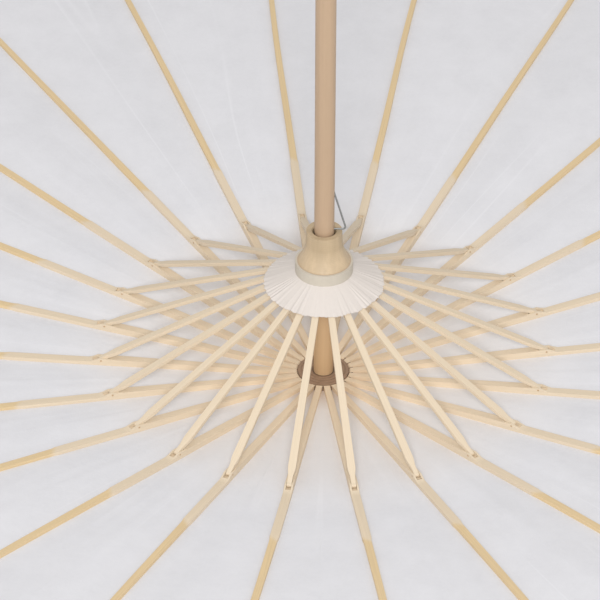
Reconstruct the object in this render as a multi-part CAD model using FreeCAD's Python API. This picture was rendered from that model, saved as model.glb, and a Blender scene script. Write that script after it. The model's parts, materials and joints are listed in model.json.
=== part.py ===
import FreeCAD, Part
import math
import os

# Hand-held paper parasol with a split-bamboo frame, stored open and upright.
# The origin lies on the pole's axis at its lower end, and +Z runs up the pole.
# Lengths are millimetres and angles are degrees.

# Frame
RIB_COUNT = 23
RIB_CROWDING = 3.1       # degrees by which the handmade slots crowd towards +X
SLOT_PLAY = 0.3          # a tongue's slot is this much wider than the tongue
SEAT_GAP = 0.3           # between paper and the bamboo it is glued to
FIT_GAP = 0.05           # radial play of a pin, a wire or a pole in its hole

# Pole
POLE_R = 6.0
POLE_END_ROUND = 1.5
GRIP_LENGTH = 88.0       # from the pole's end up to its turned groove
GRIP_GROOVE_W = 1.6
GRIP_GROOVE_DEPTH = 0.5
HEAD_Z = 500.0           # underside of the head
POLE_ABOVE_HEAD = 24.0

# Head
HEAD_TOOTH = 0.7        # wood left between two slots, on the pivot circle
HEAD_PIVOT_UP = 1.0      # from the head's underside to the pivot circle
HEAD_TEETH_H = 2.4
HEAD_TEETH_RIM = 0.9     # from the pivot circle to the teeth's outer face
HEAD_NECK_R = 12.0
HEAD_NECK_H = 12.0
HEAD_GROOVES = 3         # turned lines in the underside
HEAD_GROOVE_W = 0.5
HEAD_GROOVE_DEPTH = 0.35
HEAD_PIN_R = 1.0

# Binding wires, each a closed ring through the teeth and the tongues
WIRE_R = 0.4
WIRE_HOLE_PLAY = 0.2     # a tongue swings freely on the wire

# Ribs, measured along their straight upper edge from the head pivot
RIB_LENGTH = 405.0
RIB_OPEN_SLOPE = 8.5     # below the horizontal when the parasol is open
RIB_EYE_R = 1.5
RIB_TONGUE_W = 3.75
RIB_TONGUE_LENGTH = 6.0
RIB_WIDTH = 5.25
RIB_OUTER_WIDTH = 4.4
RIB_TIP_WIDTH = 3.2
RIB_JOINT_AT = 120.0
RIB_CHEEK_LENGTH = 3.0   # deep cheeks run this far past the joint
RIB_CHEEK_RUNOUT = 2.0
RIB_SHOULDER_AT = 176.0  # the pared inner part ends here
RIB_SHOULDER_RUN = 2.0
RIB_PARED_DEPTH = 2.5
RIB_OUTER_DEPTH = 2.3
RIB_TIP_DEPTH = 1.8
RIB_CLOSED_TILT = 2.2    # from the pole, when the parasol is closed

# Joint between a rib and its stretcher
JOINT_DROP = 1.9         # pin centre below the rib's own axis
JOINT_WALL = 1.35        # pin centre to the rib's underside
JOINT_PIN_R = 0.6

# Stretchers
RUNNER_DROP = 55.15      # runner's pivots below the rib joints when open
STRETCHER_EYE_R = 1.2
STRETCHER_WIDTH = 4.7
STRETCHER_INNER_WIDTH = 4.0
STRETCHER_INNER_TAPER = 22.0
OUTER_TONGUE_W = 2.8
OUTER_TONGUE_LENGTH = 5.5
OUTER_TONGUE_TAPER = 5.0
INNER_TONGUE_W = 2.9
INNER_TONGUE_LENGTH = 11.0
INNER_TONGUE_TAPER = 4.0

# Runner, measured from the stretchers' pivot circle
RUNNER_PLAY = 0.9        # radial play on the pole
RUNNER_TOOTH = 1.17
RUNNER_TOP_R = 12.6
RUNNER_TOP_H = 9.0
RUNNER_RING_RIM = 0.85
RUNNER_RING_ABOVE = 1.6
RUNNER_RING_BELOW = 8.6
RUNNER_FLANGE_SET_IN = 1.15
RUNNER_FLANGE_H = 0.5
RUNNER_BELL_DROP = 21.2  # the bell shape ends here and the plain neck begins
RUNNER_BELL_HOLLOW = 0.7
RUNNER_NECK_R = 11.0
RUNNER_MOUTH_R = 10.7
RUNNER_MOUTH_DROP = 30.4
RUNNER_MOUTH_CHAMFER = 0.7

# Paper
CANOPY_T = 0.3
CANOPY_OVERHANG = 3.0
COLLAR_T = 0.3
COLLAR_R = 36.2
COLLAR_BELOW = 8.9       # the band's lower edge, below the stretchers' pivot circle

# Catch, a bent spring wire in a slot of the pole, on the -X side
CATCH_R = 0.55
CATCH_STOP_GAP = 0.7     # lets the corner rise as it swings in
CATCH_REACH = 7.0        # from the pole's surface to the corner
CATCH_LENGTH = 28.4      # from the foot up to the stop leg
CATCH_FOOT_IN = 1.0
CATCH_LEG_IN = 4.5       # the stop leg runs this far inside the pole's surface
CATCH_BEND_R = 1.5
CATCH_SIDE_PLAY = 0.3
CATCH_TRAVEL = 13.5
CATCH_SLOT_DEPTH = 3.0

# Cap on the pole's upper end
CAP_R = 15.0
CAP_RIM_H = 2.5
CAP_TOP_R = 8.0
CAP_TOP_ROUND = 3.0
CAP_ABOVE_POLE = 3.0

# Worked out from the sizes above
HEAD_PIVOT_R = RIB_COUNT * (RIB_TONGUE_W + SLOT_PLAY + HEAD_TOOTH) / (2 * math.pi)
HEAD_PIVOT_Z = HEAD_Z + HEAD_PIVOT_UP
RUNNER_PIVOT_R = RIB_COUNT * (INNER_TONGUE_W + SLOT_PLAY + RUNNER_TOOTH) / (2 * math.pi)
SLOPE = math.radians(RIB_OPEN_SLOPE)
JOINT_R = HEAD_PIVOT_R + RIB_JOINT_AT * math.cos(SLOPE) - JOINT_DROP * math.sin(SLOPE)
JOINT_Z = HEAD_PIVOT_Z - RIB_JOINT_AT * math.sin(SLOPE) - JOINT_DROP * math.cos(SLOPE)
RIB_LINK = math.hypot(RIB_JOINT_AT, JOINT_DROP)
STRETCHER_RUN = JOINT_R - RUNNER_PIVOT_R
STRETCHER_LENGTH = math.hypot(STRETCHER_RUN, RUNNER_DROP)
STRETCHER_OPEN_SLOPE = math.degrees(math.atan2(RUNNER_DROP, STRETCHER_RUN))
RUNNER_Z = JOINT_Z - RUNNER_DROP
RUNNER_RING_R = RUNNER_PIVOT_R + RUNNER_RING_RIM
RUNNER_FLANGE_R = RUNNER_RING_R - RUNNER_FLANGE_SET_IN
MOUTH_Z = RUNNER_Z - RUNNER_MOUTH_DROP
POLE_TOP_Z = HEAD_Z + POLE_ABOVE_HEAD
GORE_FLAT = math.cos(math.pi / RIB_COUNT * (1 + math.radians(RIB_CROWDING)))
TEETH_TOP_Z = HEAD_Z + HEAD_TEETH_H
NECK_TOP_Z = TEETH_TOP_Z + HEAD_NECK_H
CATCH_STOP_Z = MOUTH_Z - CATCH_R - CATCH_STOP_GAP
CATCH_FOOT_Z = CATCH_STOP_Z - CATCH_LENGTH
CATCH_FOOT_X = -POLE_R + CATCH_FOOT_IN

# The closed frame, which sets the joints' limits
CLOSED_TILT = math.radians(RIB_CLOSED_TILT)
CLOSED_JOINT_R = HEAD_PIVOT_R + RIB_LINK * math.sin(CLOSED_TILT)
CLOSED_JOINT_Z = HEAD_PIVOT_Z - RIB_LINK * math.cos(CLOSED_TILT)
CLOSED_STRETCHER_TILT = math.asin((CLOSED_JOINT_R - RUNNER_PIVOT_R) / STRETCHER_LENGTH)
CLOSED_RUNNER_Z = CLOSED_JOINT_Z - STRETCHER_LENGTH * math.cos(CLOSED_STRETCHER_TILT)
RUNNER_TRAVEL = RUNNER_Z - CLOSED_RUNNER_Z
RIB_LINK_SLOPE = RIB_OPEN_SLOPE + math.degrees(math.atan2(JOINT_DROP, RIB_JOINT_AT))
RIB_SWING = 90 - RIB_CLOSED_TILT - RIB_LINK_SLOPE
STRETCHER_SWING = 90 - STRETCHER_OPEN_SLOPE - math.degrees(CLOSED_STRETCHER_TILT)

UP = FreeCAD.Vector(0, 0, 1)
ACROSS = FreeCAD.Vector(0, 1, 0)


def point(x, z, y=0.0):
    return FreeCAD.Vector(x, y, z)


def azimuth(index):
    """Direction of a rib, counted round the pole from the one over the catch."""
    even = 360.0 * index / RIB_COUNT
    return 180.0 + even + RIB_CROWDING * math.sin(math.radians(even))


def around(shape, angle):
    turned = shape.copy()
    turned.rotate(FreeCAD.Vector(0, 0, 0), UP, angle)
    return turned


def turned(corners):
    """Solid of revolution about Z from (radius, height) corners."""
    outline = [point(radius, height) for radius, height in corners]
    face = Part.Face(Part.makePolygon(outline + outline[:1]))
    return face.revolve(FreeCAD.Vector(0, 0, 0), UP, 360)


def prism_across(edges, width):
    """Side outline in the XZ plane, thickened evenly to both sides."""
    face = Part.Face(Part.Wire(edges))
    face.translate(ACROSS * (-width / 2))
    return face.extrude(ACROSS * width)


def lines(corners):
    return [Part.makeLine(point(*a), point(*b)) for a, b in zip(corners, corners[1:])]


def plan(stations, height):
    """Symmetrical plan outline from (distance, width) stations, thickened about Z = 0."""
    left = [FreeCAD.Vector(x, -width / 2, -height) for x, width in stations]
    right = [FreeCAD.Vector(x, width / 2, -height) for x, width in reversed(stations)]
    face = Part.Face(Part.makePolygon(left + right + left[:1]))
    return face.extrude(UP * (2 * height))


def bar_across(radius, width, x, z):
    return Part.makeCylinder(radius, width, point(x, z, -width / 2), ACROSS)


def block(x_from, x_to, width, z_from, z_to):
    corner = FreeCAD.Vector(x_from, -width / 2, z_from)
    return Part.makeBox(x_to - x_from, width, z_to - z_from, corner)


def save(shape, node):
    shape.exportStep("parts/" + node + ".step")


# ---- pole, head, cap --------------------------------------------------------

def make_pole():
    pole = Part.makeCylinder(POLE_R, POLE_TOP_Z)
    lower_edge = [e for e in pole.Edges if e.BoundBox.ZMax < 1e-6]
    pole = pole.makeFillet(POLE_END_ROUND, lower_edge)
    slot_w = 2 * (CATCH_R + CATCH_SIDE_PLAY)
    surface = POLE_R + 1
    slot_top = CATCH_STOP_Z + 3 * CATCH_R + 1
    slot_foot = CATCH_FOOT_Z - CATCH_R - CATCH_SIDE_PLAY
    long_slot = block(-surface, -POLE_R + CATCH_SLOT_DEPTH, slot_w, slot_foot, slot_top)
    through_slot = block(-surface, surface, slot_w, CATCH_STOP_Z - 6 * CATCH_R, slot_top)
    floor = POLE_R - GRIP_GROOVE_DEPTH
    top = GRIP_LENGTH + GRIP_GROOVE_W
    groove = turned([(floor, GRIP_LENGTH), (surface, GRIP_LENGTH), (surface, top), (floor, top)])
    return pole.cut(long_slot).cut(through_slot).cut(head_pin_hole()).cut(groove)


def head_pin_bar(radius, length):
    height = NECK_TOP_Z - HEAD_NECK_H / 2
    return Part.makeCylinder(radius, length, FreeCAD.Vector(0, -length / 2, height), ACROSS)


def head_pin_hole():
    return head_pin_bar(HEAD_PIN_R + FIT_GAP, 4 * HEAD_NECK_R)


def make_head_pin():
    return head_pin_bar(HEAD_PIN_R, 2 * HEAD_NECK_R - 1)


def make_head():
    """Turned disc with a slot for each rib's tongue and a neck for the cap."""
    disc_r = HEAD_PIVOT_R - RIB_EYE_R - SEAT_GAP
    bore = POLE_R + FIT_GAP
    rim = HEAD_PIVOT_R + HEAD_TEETH_RIM
    head = turned([
        (bore, HEAD_Z), (rim, HEAD_Z), (rim, TEETH_TOP_Z), (HEAD_NECK_R, TEETH_TOP_Z),
        (HEAD_NECK_R, NECK_TOP_Z), (bore, NECK_TOP_Z)])
    slot = block(disc_r, rim + 1, RIB_TONGUE_W + SLOT_PLAY, HEAD_Z - 1, TEETH_TOP_Z + 1)
    for index in range(RIB_COUNT):
        head = head.cut(around(slot, azimuth(index)))
    land = (disc_r - bore) / (HEAD_GROOVES + 1)
    groove_top = HEAD_Z + HEAD_GROOVE_DEPTH
    for step in range(HEAD_GROOVES):
        inner = bore + (step + 1) * land
        outer = inner + HEAD_GROOVE_W
        head = head.cut(turned([
            (inner, HEAD_Z - 1), (outer, HEAD_Z - 1), (outer, groove_top), (inner, groove_top)]))
    wire_way = Part.makeTorus(HEAD_PIVOT_R, WIRE_R + FIT_GAP, point(0, HEAD_PIVOT_Z), UP)
    return head.cut(wire_way).cut(head_pin_hole())


def make_cap():
    rim_z = canopy_z(HEAD_NECK_R) + CANOPY_T + SEAT_GAP
    top_z = POLE_TOP_Z + CAP_ABOVE_POLE
    cap = turned([
        (0, rim_z), (CAP_R, rim_z), (CAP_R, rim_z + CAP_RIM_H), (CAP_TOP_R, top_z), (0, top_z)])
    top_edge = [e for e in cap.Edges if e.BoundBox.ZMin > top_z - 1e-6 and e.BoundBox.XMax > 1]
    cap = cap.makeFillet(CAP_TOP_ROUND, top_edge)
    neck_bore = Part.makeCylinder(HEAD_NECK_R + FIT_GAP, NECK_TOP_Z + FIT_GAP)
    pole_bore = Part.makeCylinder(POLE_R + FIT_GAP, POLE_TOP_Z + FIT_GAP)
    return cap.cut(neck_bore).cut(pole_bore)


def make_ring(radius, height):
    return Part.makeTorus(radius, WIRE_R, point(0, height), UP)


# ---- ribs and stretchers ----------------------------------------------------

def make_rib():
    """One rib with its joint pin, lying along +X in the open parasol."""
    top = RIB_EYE_R
    cheek_z = -JOINT_DROP - JOINT_WALL
    cheek_end = RIB_JOINT_AT + RIB_CHEEK_LENGTH
    edges = lines([
        (0, top), (RIB_LENGTH, top), (RIB_LENGTH, top - RIB_TIP_DEPTH),
        (RIB_SHOULDER_AT, top - RIB_OUTER_DEPTH), (RIB_SHOULDER_AT, top - RIB_PARED_DEPTH),
        (cheek_end + RIB_CHEEK_RUNOUT, top - RIB_PARED_DEPTH), (cheek_end, cheek_z),
        (RIB_JOINT_AT, cheek_z), (0, -RIB_EYE_R)])
    eye = Part.Arc(point(0, -RIB_EYE_R), point(-RIB_EYE_R, 0), point(0, top)).toShape()
    side = prism_across(edges + [eye], 2 * RIB_WIDTH)
    outline = plan([
        (-2 * RIB_EYE_R, RIB_TONGUE_W), (RIB_TONGUE_LENGTH, RIB_TONGUE_W),
        (RIB_JOINT_AT, RIB_WIDTH), (RIB_SHOULDER_AT, RIB_WIDTH),
        (RIB_SHOULDER_AT + RIB_SHOULDER_RUN, RIB_OUTER_WIDTH), (RIB_LENGTH + 1, RIB_TIP_WIDTH)],
        2 * (JOINT_DROP + JOINT_WALL))
    rib = side.common(outline)
    slot_top = STRETCHER_EYE_R + SEAT_GAP - JOINT_DROP
    slot_back = RIB_JOINT_AT - 4.2 * STRETCHER_EYE_R
    slot_front = cheek_end + RIB_CHEEK_RUNOUT
    slot_w = OUTER_TONGUE_W + SLOT_PLAY
    rib = rib.cut(block(slot_back, slot_front, slot_w, cheek_z - 1, slot_top))
    rib = rib.cut(bar_across(WIRE_R + WIRE_HOLE_PLAY, 2 * RIB_WIDTH, 0, 0))
    rib = rib.cut(bar_across(JOINT_PIN_R + FIT_GAP, 2 * RIB_WIDTH, RIB_JOINT_AT, -JOINT_DROP))
    pin = bar_across(JOINT_PIN_R, RIB_WIDTH, RIB_JOINT_AT, -JOINT_DROP)
    both = Part.makeCompound([rib, pin])
    both.rotate(FreeCAD.Vector(0, 0, 0), ACROSS, RIB_OPEN_SLOPE)
    both.translate(point(HEAD_PIVOT_R, HEAD_PIVOT_Z))
    return both


def make_stretcher():
    """One stretcher, from its joint under the rib down to the runner."""
    eye = STRETCHER_EYE_R
    length = STRETCHER_LENGTH
    edges = [
        Part.makeLine(point(0, eye), point(length, eye)),
        Part.Arc(point(length, eye), point(length + eye, 0), point(length, -eye)).toShape(),
        Part.makeLine(point(length, -eye), point(0, -eye)),
        Part.Arc(point(0, -eye), point(-eye, 0), point(0, eye)).toShape()]
    side = prism_across(edges, 2 * STRETCHER_WIDTH)
    tongue_start = length - INNER_TONGUE_LENGTH
    outline = plan([
        (-2 * eye, OUTER_TONGUE_W), (OUTER_TONGUE_LENGTH, OUTER_TONGUE_W),
        (OUTER_TONGUE_LENGTH + OUTER_TONGUE_TAPER, STRETCHER_WIDTH),
        (length - STRETCHER_INNER_TAPER, STRETCHER_INNER_WIDTH),
        (tongue_start - INNER_TONGUE_TAPER, STRETCHER_INNER_WIDTH),
        (tongue_start, INNER_TONGUE_W), (length + 2 * eye, INNER_TONGUE_W)],
        2 * eye)
    stretcher = side.common(outline)
    joint_hole = bar_across(JOINT_PIN_R + FIT_GAP, 2 * STRETCHER_WIDTH, 0, 0)
    wire_hole = bar_across(WIRE_R + WIRE_HOLE_PLAY, 2 * STRETCHER_WIDTH, length, 0)
    stretcher = stretcher.cut(joint_hole).cut(wire_hole)
    stretcher.rotate(FreeCAD.Vector(0, 0, 0), ACROSS, 180 - STRETCHER_OPEN_SLOPE)
    stretcher.translate(point(JOINT_R, JOINT_Z))
    return stretcher


# ---- runner and catch -------------------------------------------------------

def make_runner():
    """Toothed ring for the stretchers, flange, bell-shaped neck and mouth."""
    bore = POLE_R + RUNNER_PLAY
    top = RUNNER_Z + RUNNER_TOP_H
    ring_top = RUNNER_Z + RUNNER_RING_ABOVE
    ring_foot = RUNNER_Z - RUNNER_RING_BELOW
    flange_foot = ring_foot - RUNNER_FLANGE_H
    bell_z = RUNNER_Z - RUNNER_BELL_DROP
    bell_mid = point(
        (RUNNER_FLANGE_R + RUNNER_NECK_R) / 2 - RUNNER_BELL_HOLLOW, (flange_foot + bell_z) / 2)
    bell = Part.Arc(point(RUNNER_FLANGE_R, flange_foot), bell_mid, point(RUNNER_NECK_R, bell_z))
    upper = lines([
        (bore, top), (RUNNER_TOP_R, top), (RUNNER_TOP_R, ring_top), (RUNNER_RING_R, ring_top),
        (RUNNER_RING_R, ring_foot), (RUNNER_FLANGE_R, ring_foot), (RUNNER_FLANGE_R, flange_foot)])
    lower = lines([
        (RUNNER_NECK_R, bell_z), (RUNNER_MOUTH_R, MOUTH_Z), (bore + RUNNER_MOUTH_CHAMFER, MOUTH_Z),
        (bore, MOUTH_Z + RUNNER_MOUTH_CHAMFER), (bore, top)])
    face = Part.Face(Part.Wire(upper + [bell.toShape()] + lower))
    runner = face.revolve(FreeCAD.Vector(0, 0, 0), UP, 360)
    slot_floor = RUNNER_PIVOT_R - STRETCHER_EYE_R - SEAT_GAP
    slot = block(slot_floor, RUNNER_RING_R + 1, INNER_TONGUE_W + SLOT_PLAY, ring_foot, top)
    for index in range(RIB_COUNT):
        runner = runner.cut(around(slot, azimuth(index)))
    wire_way = Part.makeTorus(RUNNER_PIVOT_R, WIRE_R + FIT_GAP, point(0, RUNNER_Z), UP)
    return runner.cut(wire_way)


def make_catch():
    """Foot in the pole's slot, slanted leg, corner, and stop leg under the runner's mouth."""
    foot = point(CATCH_FOOT_X, CATCH_FOOT_Z)
    corner = point(-POLE_R - CATCH_REACH, CATCH_STOP_Z)
    end = point(-POLE_R + CATCH_LEG_IN, CATCH_STOP_Z)
    to_foot = (foot - corner).normalize()
    to_end = (end - corner).normalize()
    half_turn = to_foot.getAngle(to_end) / 2
    inward = (to_foot + to_end).normalize()
    centre = corner + inward * (CATCH_BEND_R / math.sin(half_turn))
    reach = CATCH_BEND_R / math.tan(half_turn)
    bend_start = corner + to_foot * reach
    bend_end = corner + to_end * reach
    path = Part.Wire([
        Part.makeLine(foot, bend_start),
        Part.Arc(bend_start, centre - inward * CATCH_BEND_R, bend_end).toShape(),
        Part.makeLine(bend_end, end)])
    section = Part.Wire([Part.makeCircle(CATCH_R, foot, bend_start - foot)])
    return path.makePipeShell([section], True, True)


# ---- paper ------------------------------------------------------------------

def canopy_z(radius):
    """Height of the canopy's underside along a rib."""
    top_at_pivot = HEAD_PIVOT_Z + RIB_EYE_R / math.cos(SLOPE)
    return top_at_pivot - (radius - HEAD_PIVOT_R) * math.tan(SLOPE) + SEAT_GAP


def corner_ring(radius, height):
    """Points over every rib, and the first one again."""
    ring = []
    for index in range(RIB_COUNT):
        turn = math.radians(azimuth(index))
        ring.append(FreeCAD.Vector(radius * math.cos(turn), radius * math.sin(turn), height))
    return ring + ring[:1]


def faceted(profile):
    """Closed paper skin of flat gores, from a closed (radius, height) profile over a rib."""
    rings = [corner_ring(radius, height) for radius, height in profile]
    faces = []
    for first, second in zip(rings, rings[1:] + rings[:1]):
        for i in range(RIB_COUNT):
            corners = [first[i], first[i + 1], second[i + 1], second[i], first[i]]
            faces.append(Part.Face(Part.makePolygon(corners)))
    solid = Part.Solid(Part.makeShell(faces))
    solid.fix(1e-6, 1e-6, 1e-6)
    return solid


def make_canopy():
    inner_r = (HEAD_NECK_R + SEAT_GAP) / GORE_FLAT
    outer_r = HEAD_PIVOT_R + (RIB_LENGTH + CANOPY_OVERHANG) * math.cos(SLOPE)
    return faceted([
        (inner_r, canopy_z(inner_r)), (outer_r, canopy_z(outer_r)),
        (outer_r, canopy_z(outer_r) + CANOPY_T), (inner_r, canopy_z(inner_r) + CANOPY_T)])


def make_collar():
    """Paper band round the runner's ring, then a skirt glued under the stretchers."""
    slope = math.radians(STRETCHER_OPEN_SLOPE)
    drop = (STRETCHER_EYE_R + SEAT_GAP) / math.cos(slope)
    inner_r = (RUNNER_RING_R + SEAT_GAP) / GORE_FLAT
    band_r = inner_r + COLLAR_T
    band_foot = RUNNER_Z - COLLAR_BELOW

    def under_stretchers(radius):
        return RUNNER_Z + (radius - RUNNER_PIVOT_R) * math.tan(slope) - drop

    return faceted([
        (inner_r, band_foot), (inner_r, under_stretchers(inner_r)),
        (COLLAR_R, under_stretchers(COLLAR_R)), (COLLAR_R, under_stretchers(COLLAR_R) - COLLAR_T),
        (band_r, under_stretchers(band_r) - COLLAR_T), (band_r, band_foot)])


# ---- build ------------------------------------------------------------------

os.makedirs("parts", exist_ok=True)
save(make_pole(), "pole")
save(make_head(), "head")
save(make_head_pin(), "head_pin")
save(make_cap(), "cap")
save(make_ring(HEAD_PIVOT_R, HEAD_PIVOT_Z), "head_wire")
save(make_ring(RUNNER_PIVOT_R, RUNNER_Z), "runner_wire")
save(make_runner(), "runner")
save(make_catch(), "catch")
save(make_canopy(), "canopy")
save(make_collar(), "collar")
rib = make_rib()
stretcher = make_stretcher()
for index in range(RIB_COUNT):
    number = "%02d" % (index + 1)
    save(around(rib, azimuth(index)), "rib_" + number)
    save(around(stretcher, azimuth(index)), "stretcher_" + number)

print("head pivot", round(HEAD_PIVOT_R, 3), round(HEAD_PIVOT_Z, 3))
print("joint", round(JOINT_R, 3), round(JOINT_Z, 3))
print("runner pivot", round(RUNNER_PIVOT_R, 3), round(RUNNER_Z, 3), "travel", round(RUNNER_TRAVEL, 3))
print("swings", round(RIB_SWING, 3), round(STRETCHER_SWING, 3), "mouth", round(MOUTH_Z, 3))
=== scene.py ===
import bpy
import bmesh
import json
import math
from mathutils import Matrix, Vector

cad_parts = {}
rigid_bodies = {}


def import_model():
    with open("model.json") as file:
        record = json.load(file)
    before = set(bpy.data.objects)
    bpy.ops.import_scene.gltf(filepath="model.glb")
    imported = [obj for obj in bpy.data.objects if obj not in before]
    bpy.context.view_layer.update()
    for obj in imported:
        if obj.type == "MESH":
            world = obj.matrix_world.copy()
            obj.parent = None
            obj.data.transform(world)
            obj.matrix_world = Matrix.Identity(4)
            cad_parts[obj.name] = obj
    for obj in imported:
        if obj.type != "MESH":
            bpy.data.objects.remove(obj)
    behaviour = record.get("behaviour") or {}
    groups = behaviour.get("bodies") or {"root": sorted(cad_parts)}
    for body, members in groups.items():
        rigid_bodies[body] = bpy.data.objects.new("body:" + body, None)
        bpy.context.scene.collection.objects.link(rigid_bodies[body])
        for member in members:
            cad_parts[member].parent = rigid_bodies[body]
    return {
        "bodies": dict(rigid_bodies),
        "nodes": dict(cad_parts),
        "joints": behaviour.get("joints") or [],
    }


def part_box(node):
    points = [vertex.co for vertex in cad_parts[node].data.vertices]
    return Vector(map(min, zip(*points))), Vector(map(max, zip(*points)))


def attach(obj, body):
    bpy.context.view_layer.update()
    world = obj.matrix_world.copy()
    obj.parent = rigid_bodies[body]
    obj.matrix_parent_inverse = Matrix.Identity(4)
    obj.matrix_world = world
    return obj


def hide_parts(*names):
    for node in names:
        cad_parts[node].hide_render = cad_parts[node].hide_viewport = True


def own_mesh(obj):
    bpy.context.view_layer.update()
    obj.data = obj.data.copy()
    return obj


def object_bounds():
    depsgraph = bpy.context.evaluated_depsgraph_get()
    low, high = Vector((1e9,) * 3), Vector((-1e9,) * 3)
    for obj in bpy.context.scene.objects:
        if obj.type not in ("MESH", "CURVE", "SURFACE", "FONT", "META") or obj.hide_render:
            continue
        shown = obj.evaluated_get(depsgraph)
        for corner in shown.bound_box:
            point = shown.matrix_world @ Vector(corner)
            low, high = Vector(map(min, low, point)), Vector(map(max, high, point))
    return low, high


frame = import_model()
CAD_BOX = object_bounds()

bl_info = {
    "name": "Bamboo Parasol",
    "version": (1, 0, 0),
    "blender": (4, 5, 0),
    "location": "View3D > Sidebar > Parasol",
    "description": "Dresses the bamboo parasol: paper, split bamboo, turned wood and stage",
    "category": "Object",
}

# ---- places taken from the frame --------------------------------------------

JOINTS = {joint["name"]: joint for joint in frame["joints"]}
RIB_NAMES = sorted(name for name in frame["bodies"] if name.startswith("rib_"))
RIB_COUNT = len(RIB_NAMES)
EVEN_GAP = 2 * math.pi / RIB_COUNT


def pivot(joint):
    """(distance from the pole's axis, height) of a hinge."""
    x, y, z = JOINTS[joint]["pos_m"]
    return math.hypot(x, y), z


HEAD_PIVOT_R, HEAD_PIVOT_Z = pivot("rib_hinge_01")
RIB_JOINT_R, RIB_JOINT_Z = pivot("stretcher_hinge_01")
CANOPY_LOW, CANOPY_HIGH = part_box("canopy")
COLLAR_LOW, COLLAR_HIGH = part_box("collar")
RUNNER_LOW, RUNNER_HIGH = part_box("runner")
RIB_LOW, RIB_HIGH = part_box("rib_01")
HEAD_LOW, HEAD_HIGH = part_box("head")
POLE_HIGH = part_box("pole")[1]
WIRE_LOW, WIRE_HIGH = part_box("runner_wire")
RIB_REACH = max(abs(RIB_LOW.x), abs(RIB_HIGH.x))
WIRE_R = (WIRE_HIGH.z - WIRE_LOW.z) / 2
RUNNER_PIVOT_R = WIRE_HIGH.x - WIRE_R
RUNNER_PIVOT_Z = (WIRE_HIGH.z + WIRE_LOW.z) / 2


def azimuth(number):
    """Direction of rib or stretcher number 1, 2, ... round the pole."""
    x, y, _ = JOINTS["rib_hinge_%02d" % number]["pos_m"]
    return math.atan2(y, x)


def half_gaps(number):
    """Half of the angle to the rib before and to the rib after."""
    before = azimuth((number - 2) % RIB_COUNT + 1)
    after = azimuth(number % RIB_COUNT + 1)
    here = azimuth(number)
    return (here - before) % math.tau / 2, (after - here) % math.tau / 2


# ---- node helpers -----------------------------------------------------------

class Wiring:
    """Adds and joins nodes in one shader or geometry tree."""

    def __init__(self, tree):
        self.tree = tree

    def add(self, kind, inputs=None, **settings):
        node = self.tree.nodes.new(kind)
        for name, value in settings.items():
            setattr(node, name, value)
        for key, value in (inputs or {}).items():
            self.feed(node.inputs[key], value)
        return node

    def feed(self, socket, value):
        if isinstance(value, bpy.types.NodeSocket):
            self.tree.links.new(value, socket)
        else:
            socket.default_value = value

    def math(self, operation, first, second=0.0, third=0.0, clamp=False):
        node = self.add("ShaderNodeMath", operation=operation, use_clamp=clamp)
        for socket, value in zip(node.inputs, (first, second, third)):
            self.feed(socket, value)
        return node.outputs[0]

    def combine(self, x, y, z):
        return self.add("ShaderNodeCombineXYZ", {0: x, 1: y, 2: z}).outputs[0]

    def separate(self, vector):
        return self.add("ShaderNodeSeparateXYZ", {0: vector}).outputs

    def scaled(self, vector, scale):
        node = self.add("ShaderNodeVectorMath", {0: vector, 1: scale}, operation="MULTIPLY")
        return node.outputs[0]

    def noise(self, vector, scale, detail=2.0, roughness=0.5):
        inputs = {"Vector": vector, "Scale": scale, "Detail": detail, "Roughness": roughness}
        return self.add("ShaderNodeTexNoise", inputs).outputs["Fac"]

    def from_axis(self, vector):
        """Distance of a place from the pole's axis."""
        x, y = self.separate(vector)[:2]
        return self.math("SQRT", self.math("MULTIPLY_ADD", x, x, self.math("MULTIPLY", y, y)))

    def ramp(self, value, low, high, to_low=0.0, to_high=1.0):
        inputs = {"Value": value, "From Min": low, "From Max": high, "To Min": to_low, "To Max": to_high}
        return self.add("ShaderNodeMapRange", inputs, clamp=True).outputs[0]

    def blend(self, share, first, second):
        node = self.add("ShaderNodeMix", data_type="RGBA")
        for key, value in ((0, share), (6, first), (7, second)):
            self.feed(node.inputs[key], value)
        return node.outputs[2]

    def curve(self, value, points):
        """A straight-lined rule from (share, value) points, both 0 to 1."""
        node = self.add("ShaderNodeFloatCurve", {"Value": value})
        line = node.mapping.curves[0]
        for _ in range(len(points) - 2):
            line.points.new(0.5, 0.5)
        for knot, place in zip(line.points, points):
            knot.location = place
            knot.handle_type = "VECTOR"
        node.mapping.update()
        return node.outputs[0]


def socket_in(tree, name, kind, default=None, subtype=None):
    socket = tree.interface.new_socket(name=name, in_out="INPUT", socket_type=kind)
    if subtype:
        socket.subtype = subtype
    if default is not None:
        socket.default_value = default
    return socket


def socket_out(tree, name, kind):
    return tree.interface.new_socket(name=name, in_out="OUTPUT", socket_type=kind)


def geometry_tree(name, inputs):
    """A geometry tree, its wiring and its inputs by name."""
    tree = bpy.data.node_groups.new(name, "GeometryNodeTree")
    socket_out(tree, "Geometry", "NodeSocketGeometry")
    for label, kind, default in inputs:
        socket_in(tree, label, kind, default)
    wire = Wiring(tree)
    entry = wire.add("NodeGroupInput")
    return tree, wire, entry.outputs


def close_tree(wire, geometry, material):
    """Realize Instances, Set Material and the group's output."""
    real = wire.add("GeometryNodeRealizeInstances", {0: geometry})
    painted = wire.add("GeometryNodeSetMaterial", {0: real.outputs[0], "Material": material})
    wire.add("NodeGroupOutput", {0: painted.outputs[0]})


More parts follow.
